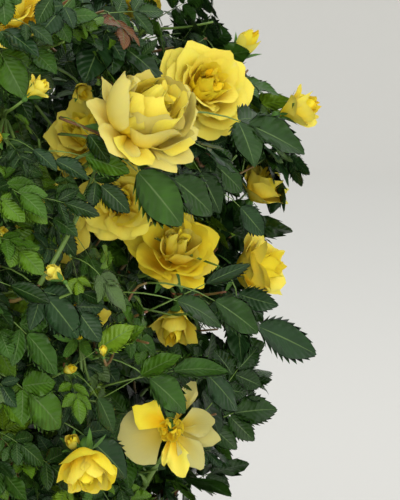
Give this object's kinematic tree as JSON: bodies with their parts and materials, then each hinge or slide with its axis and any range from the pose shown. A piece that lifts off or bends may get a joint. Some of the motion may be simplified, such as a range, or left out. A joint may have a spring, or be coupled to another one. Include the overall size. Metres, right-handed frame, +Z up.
{
  "type": "rose bush",
  "caption": "Yellow rose bush rooted at ground level: knobbly base stem, green canes in a lower and an upper tier, and leafy masses of shoots with full ruffled blooms and buds.",
  "frame": {"origin": "middle of the flat cut under the base stem, at ground level", "axes": "+Z up, the way the bush grows; the viewer of the picture stands towards -Y and a little towards +X"},
  "size_m": [0.7966, 0.7692, 0.9895],
  "materials": {
    "bark": "rough grey-brown bark with shallow cracks",
    "cane": "smooth green young bark with thorns, slightly glossy",
    "foliage": "glossy dark green leaves, paler beneath"
  },
  "bodies": {
    "root": {"base_stem": "bark", "lower_cane_1": "cane", "lower_cane_2": "cane", "lower_cane_3": "cane", "lower_cane_4": "cane", "lower_cane_5": "cane", "upper_cane_1": "cane", "upper_cane_2": "cane", "upper_cane_3": "cane", "upper_cane_4": "cane", "upper_cane_5": "cane", "middle_cane_1": "cane", "lower_foliage_1": "foliage", "lower_foliage_2": "foliage", "lower_foliage_3": "foliage", "lower_foliage_4": "foliage", "lower_foliage_5": "foliage", "upper_foliage_1": "foliage", "upper_foliage_2": "foliage", "upper_foliage_3": "foliage", "upper_foliage_4": "foliage", "upper_foliage_5": "foliage", "middle_foliage_1": "foliage"}
  },
  "joints": []
}
